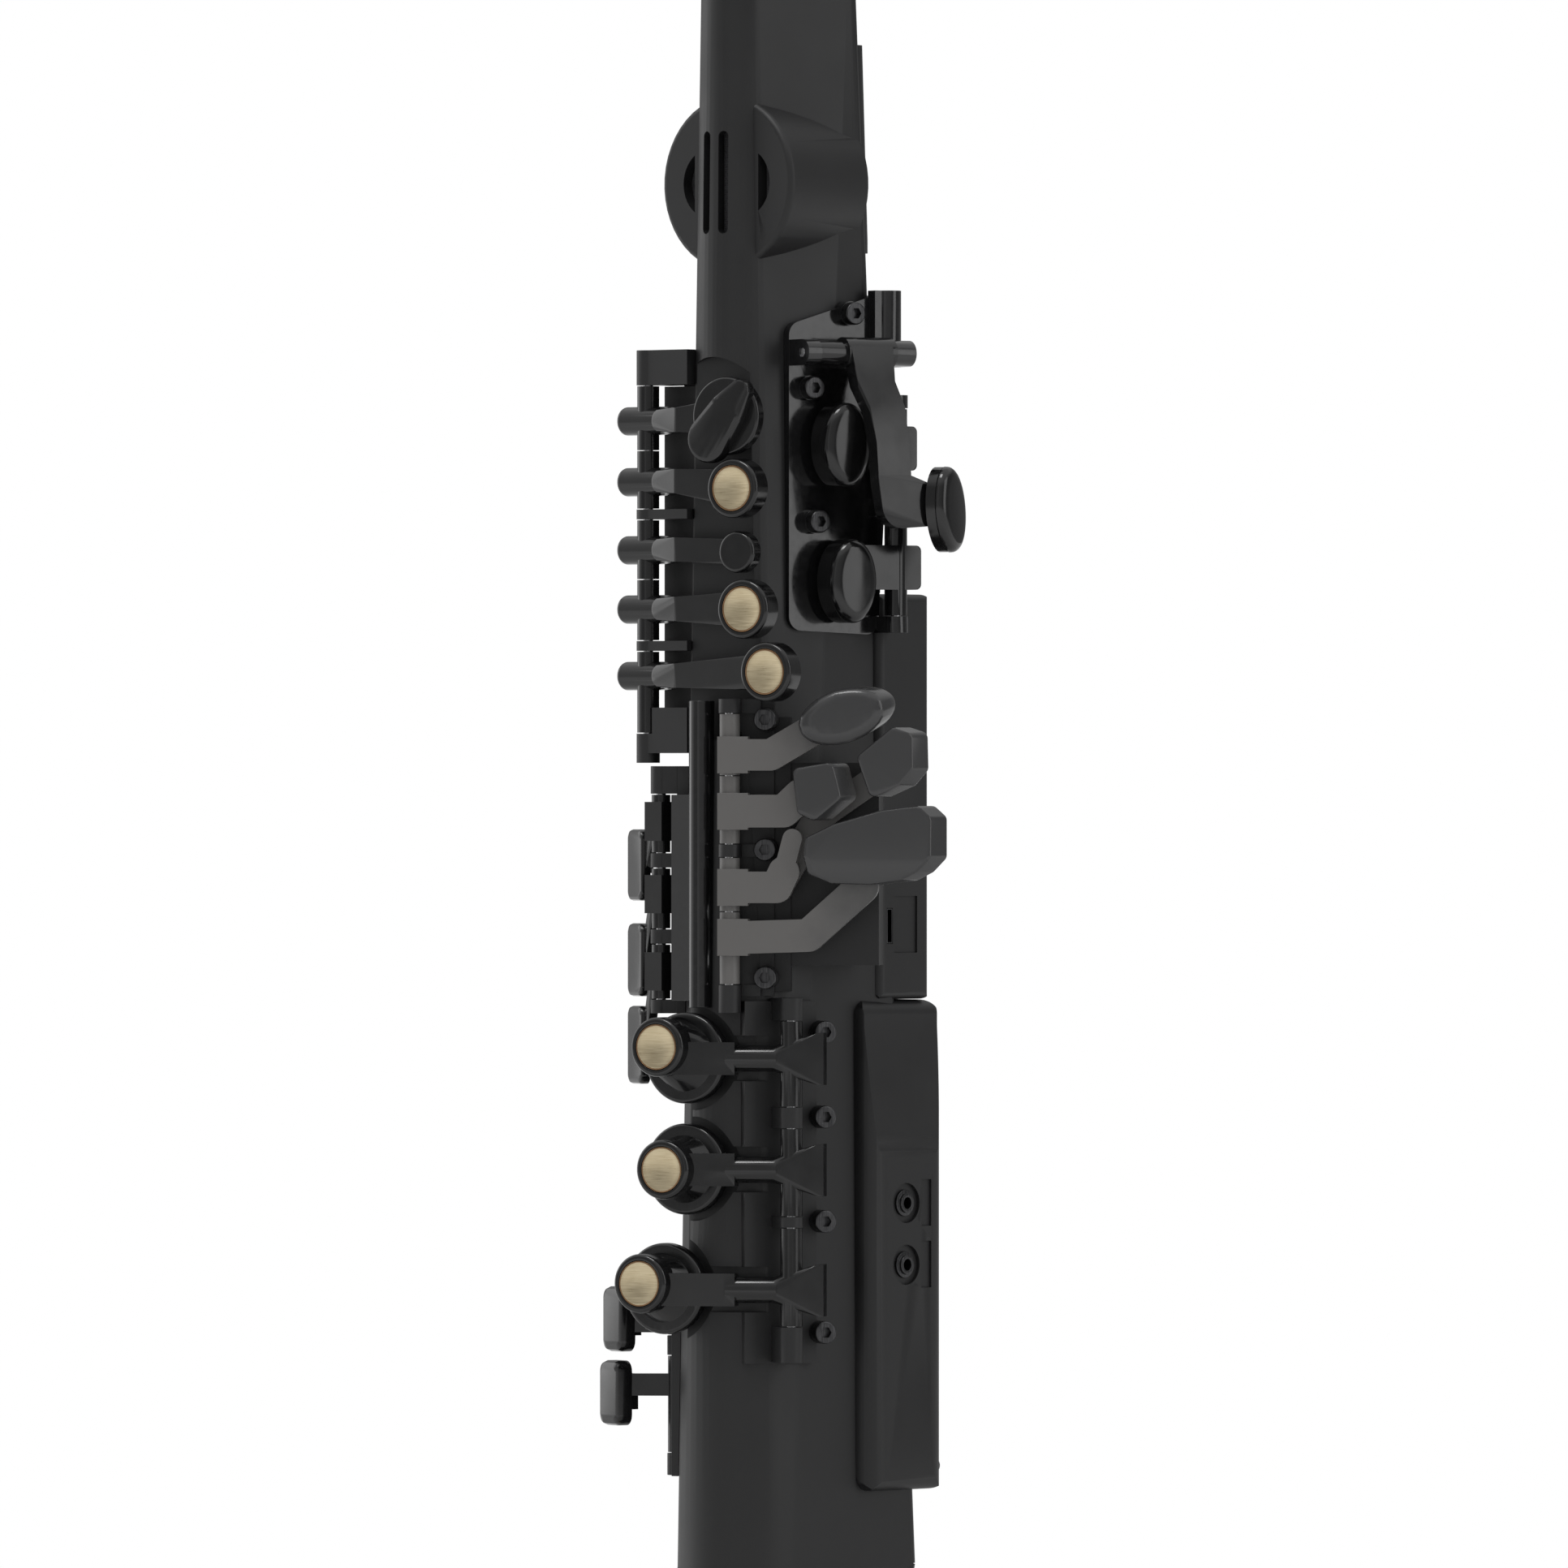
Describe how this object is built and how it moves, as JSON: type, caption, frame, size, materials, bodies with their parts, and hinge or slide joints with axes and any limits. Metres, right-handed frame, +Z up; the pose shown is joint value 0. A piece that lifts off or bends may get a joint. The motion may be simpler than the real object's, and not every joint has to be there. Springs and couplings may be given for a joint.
{
  "type": "digital wind controller",
  "caption": "Straight saxophone-shaped digital wind controller with sprung keys, brass finger pearls, brass bell, loudspeaker, rear controls and mouthpiece.",
  "frame": {"origin": "centre of the bell rim, in the plane the instrument stands on", "axes": "+Z up the instrument from bell to mouthpiece, -Y its front with the finger pearls, +X the side of the palm keys"},
  "size_m": [0.1166, 0.1109, 0.698],
  "materials": {
    "brass": "brushed, antique",
    "steel": "satin",
    "dark_steel": "blackened",
    "gloss_black": "gloss",
    "key_black": "semi-gloss",
    "body_black": "satin",
    "rubber": "matte",
    "cork": "matte",
    "reed": "satin",
    "window": "gloss",
    "cell": "satin",
    "board": "satin",
    "driver": "satin"
  },
  "bodies": {
    "body": {"front_shell": "body_black", "rear_cover": "body_black", "control_housing": "body_black", "display_window": "window", "battery_housing": "body_black", "batteries": "cell", "speaker_driver": "driver", "main_board": "board", "breath_sensor": "body_black", "bell": "brass", "neck": "body_black", "neck_cork": "cork", "strap_ring": "steel", "thumb_plate": "body_black", "audio_jacks": "dark_steel", "usb_port": "dark_steel", "hinge_rods": "steel", "cap_screws": "dark_steel", "key_switches": "rubber", "lh_rail": "body_black", "palm_plate": "gloss_black", "table_base": "body_black", "front_bar": "gloss_black", "side_brackets": "body_black", "rh_base": "body_black"},
    "left_key_1": {"lh_key_1": "key_black"},
    "left_key_2": {"lh_key_2": "key_black", "lh_pearl_2": "brass"},
    "left_key_3": {"lh_key_3": "key_black"},
    "left_key_4": {"lh_key_4": "key_black", "lh_pearl_4": "brass"},
    "left_key_5": {"lh_key_5": "key_black", "lh_pearl_5": "brass"},
    "palm_f": {"palm_key_f": "key_black"},
    "palm_eb": {"palm_key_eb": "key_black"},
    "palm_d": {"palm_key_d": "key_black"},
    "table_gsharp": {"table_key_gsharp": "key_black"},
    "table_csharp": {"table_key_csharp": "key_black"},
    "table_b": {"table_key_b": "key_black"},
    "table_bb": {"table_key_bb": "key_black"},
    "side_1": {"side_key_1": "key_black"},
    "side_2": {"side_key_2": "key_black"},
    "side_3": {"side_key_3": "key_black"},
    "right_key_1": {"rh_key_1": "key_black", "rh_pearl_1": "brass"},
    "right_key_2": {"rh_key_2": "key_black", "rh_pearl_2": "brass"},
    "right_key_3": {"rh_key_3": "key_black", "rh_pearl_3": "brass"},
    "low_eb": {"low_key_eb": "key_black"},
    "low_c": {"low_key_c": "key_black"},
    "octave": {"octave_key": "body_black"},
    "stick": {"thumb_stick": "body_black"},
    "rocker": {"menu_rocker": "body_black"},
    "power": {"power_button": "body_black"},
    "hook": {"thumb_hook": "steel"},
    "door": {"battery_door": "body_black"},
    "mouthpiece_set": {"mouthpiece": "gloss_black", "ligature": "brass", "reed": "reed"}
  },
  "joints": [
    {"name": "left_key_1_press", "type": "hinge", "parent": "body", "child": "left_key_1", "pos_m": [-0.02851, -0.02724, 0.44825], "axis": [0, 0, 1], "range_deg": [0, 4.5], "stiffness_Nm_per_rad": 0.1, "springref_deg": -8.59},
    {"name": "left_key_2_press", "type": "hinge", "parent": "body", "child": "left_key_2", "pos_m": [-0.02851, -0.02724, 0.4295], "axis": [0, 0, 1], "range_deg": [0, 4.5], "stiffness_Nm_per_rad": 0.1, "springref_deg": -8.59},
    {"name": "left_key_3_press", "type": "hinge", "parent": "body", "child": "left_key_3", "pos_m": [-0.02851, -0.02724, 0.4085], "axis": [0, 0, 1], "range_deg": [0, 4.5], "stiffness_Nm_per_rad": 0.1, "springref_deg": -8.59},
    {"name": "left_key_4_press", "type": "hinge", "parent": "body", "child": "left_key_4", "pos_m": [-0.02851, -0.02724, 0.39025], "axis": [0, 0, 1], "range_deg": [0, 4.5], "stiffness_Nm_per_rad": 0.1, "springref_deg": -8.59},
    {"name": "left_key_5_press", "type": "hinge", "parent": "body", "child": "left_key_5", "pos_m": [-0.02851, -0.02724, 0.36975], "axis": [0, 0, 1], "range_deg": [0, 4.5], "stiffness_Nm_per_rad": 0.1, "springref_deg": -8.59},
    {"name": "palm_f_press", "type": "hinge", "parent": "body", "child": "palm_f", "pos_m": [0.0325, 0.00421, 0.46875], "axis": [0.2622, 0.965, 0], "range_deg": [0, 4], "stiffness_Nm_per_rad": 0.1, "springref_deg": -8.59},
    {"name": "palm_eb_press", "type": "hinge", "parent": "body", "child": "palm_eb", "pos_m": [0.03433, 0.01667, 0.438], "axis": [0, 0, -1], "range_deg": [0, 6], "stiffness_Nm_per_rad": 0.1, "springref_deg": -8.59},
    {"name": "palm_d_press", "type": "hinge", "parent": "body", "child": "palm_d", "pos_m": [0.03433, 0.01667, 0.4035], "axis": [0, 0, -1], "range_deg": [0, 6], "stiffness_Nm_per_rad": 0.1, "springref_deg": -8.59},
    {"name": "table_gsharp_press", "type": "hinge", "parent": "body", "child": "table_gsharp", "pos_m": [0.01206, -0.03509, 0.3454], "axis": [0, 0, 1], "range_deg": [0, 4], "stiffness_Nm_per_rad": 0.1, "springref_deg": -8.59},
    {"name": "table_csharp_press", "type": "hinge", "parent": "body", "child": "table_csharp", "pos_m": [0.01206, -0.03509, 0.3282], "axis": [0, 0, 1], "range_deg": [0, 4], "stiffness_Nm_per_rad": 0.1, "springref_deg": -8.59},
    {"name": "table_b_press", "type": "hinge", "parent": "body", "child": "table_b", "pos_m": [0.01206, -0.03509, 0.305], "axis": [0, 0, 1], "range_deg": [0, 4], "stiffness_Nm_per_rad": 0.1, "springref_deg": -8.59},
    {"name": "table_bb_press", "type": "hinge", "parent": "body", "child": "table_bb", "pos_m": [0.01206, -0.03509, 0.2896], "axis": [0, 0, 1], "range_deg": [0, 4], "stiffness_Nm_per_rad": 0.1, "springref_deg": -8.59},
    {"name": "side_1_press", "type": "hinge", "parent": "body", "child": "side_1", "pos_m": [-0.02203, -0.02853, 0.325], "axis": [0, 0, -1], "range_deg": [0, 5], "stiffness_Nm_per_rad": 0.1, "springref_deg": -8.59},
    {"name": "side_2_press", "type": "hinge", "parent": "body", "child": "side_2", "pos_m": [-0.02203, -0.02853, 0.3026], "axis": [0, 0, -1], "range_deg": [0, 5], "stiffness_Nm_per_rad": 0.1, "springref_deg": -8.59},
    {"name": "side_3_press", "type": "hinge", "parent": "body", "child": "side_3", "pos_m": [-0.02203, -0.02853, 0.2789], "axis": [0, 0, -1], "range_deg": [0, 5], "stiffness_Nm_per_rad": 0.1, "springref_deg": -8.59},
    {"name": "right_key_1_press", "type": "hinge", "parent": "body", "child": "right_key_1", "pos_m": [0.02758, -0.02419, 0.2525], "axis": [0, 0, -1], "range_deg": [0, 4], "stiffness_Nm_per_rad": 0.1, "springref_deg": -8.59},
    {"name": "right_key_2_press", "type": "hinge", "parent": "body", "child": "right_key_2", "pos_m": [0.02758, -0.02419, 0.2185], "axis": [0, 0, -1], "range_deg": [0, 4], "stiffness_Nm_per_rad": 0.1, "springref_deg": -8.59},
    {"name": "right_key_3_press", "type": "hinge", "parent": "body", "child": "right_key_3", "pos_m": [0.02758, -0.02419, 0.18175], "axis": [0, 0, -1], "range_deg": [0, 3.3], "stiffness_Nm_per_rad": 0.1, "springref_deg": -8.59},
    {"name": "low_eb_press", "type": "hinge", "parent": "body", "child": "low_eb", "pos_m": [-0.02446, -0.0188, 0.176], "axis": [0, 0, -1], "range_deg": [0, 5], "stiffness_Nm_per_rad": 0.1, "springref_deg": -8.59},
    {"name": "low_c_press", "type": "hinge", "parent": "body", "child": "low_c", "pos_m": [-0.02446, -0.0188, 0.146], "axis": [0, 0, -1], "range_deg": [0, 5], "stiffness_Nm_per_rad": 0.1, "springref_deg": -8.59},
    {"name": "octave_press", "type": "hinge", "parent": "body", "child": "octave", "pos_m": [0, 0.02463, 0.47422], "axis": [-1, 0, 0], "range_deg": [0, 4], "stiffness_Nm_per_rad": 0.1, "springref_deg": -8.59},
    {"name": "stick_tilt", "type": "hinge", "parent": "body", "child": "stick", "pos_m": [0, 0.02742, 0.40375], "axis": [1, 0, 0], "range_deg": [-10, 10], "stiffness_Nm_per_rad": 0.02},
    {"name": "rocker_tilt", "type": "hinge", "parent": "body", "child": "rocker", "pos_m": [0, 0.04, 0.332], "axis": [1, 0, 0], "range_deg": [-3, 3], "stiffness_Nm_per_rad": 0.05},
    {"name": "power_press", "type": "slide", "parent": "body", "child": "power", "axis": [0, -1, 0], "range_m": [0, 0.0008], "stiffness_N_per_m": 400, "springref_m": -0.002},
    {"name": "hook_shift", "type": "slide", "parent": "body", "child": "hook", "axis": [0, 0, 1], "range_m": [-0.005, 0.005]},
    {"name": "door_off", "type": "slide", "parent": "body", "child": "door", "axis": [0, 1, 0], "range_m": [0, 0.012]},
    {"name": "mouthpiece_pull", "type": "slide", "parent": "body", "child": "mouthpiece_set", "axis": [0, 0.342, 0.9397], "range_m": [0, 0.012]}
  ]
}
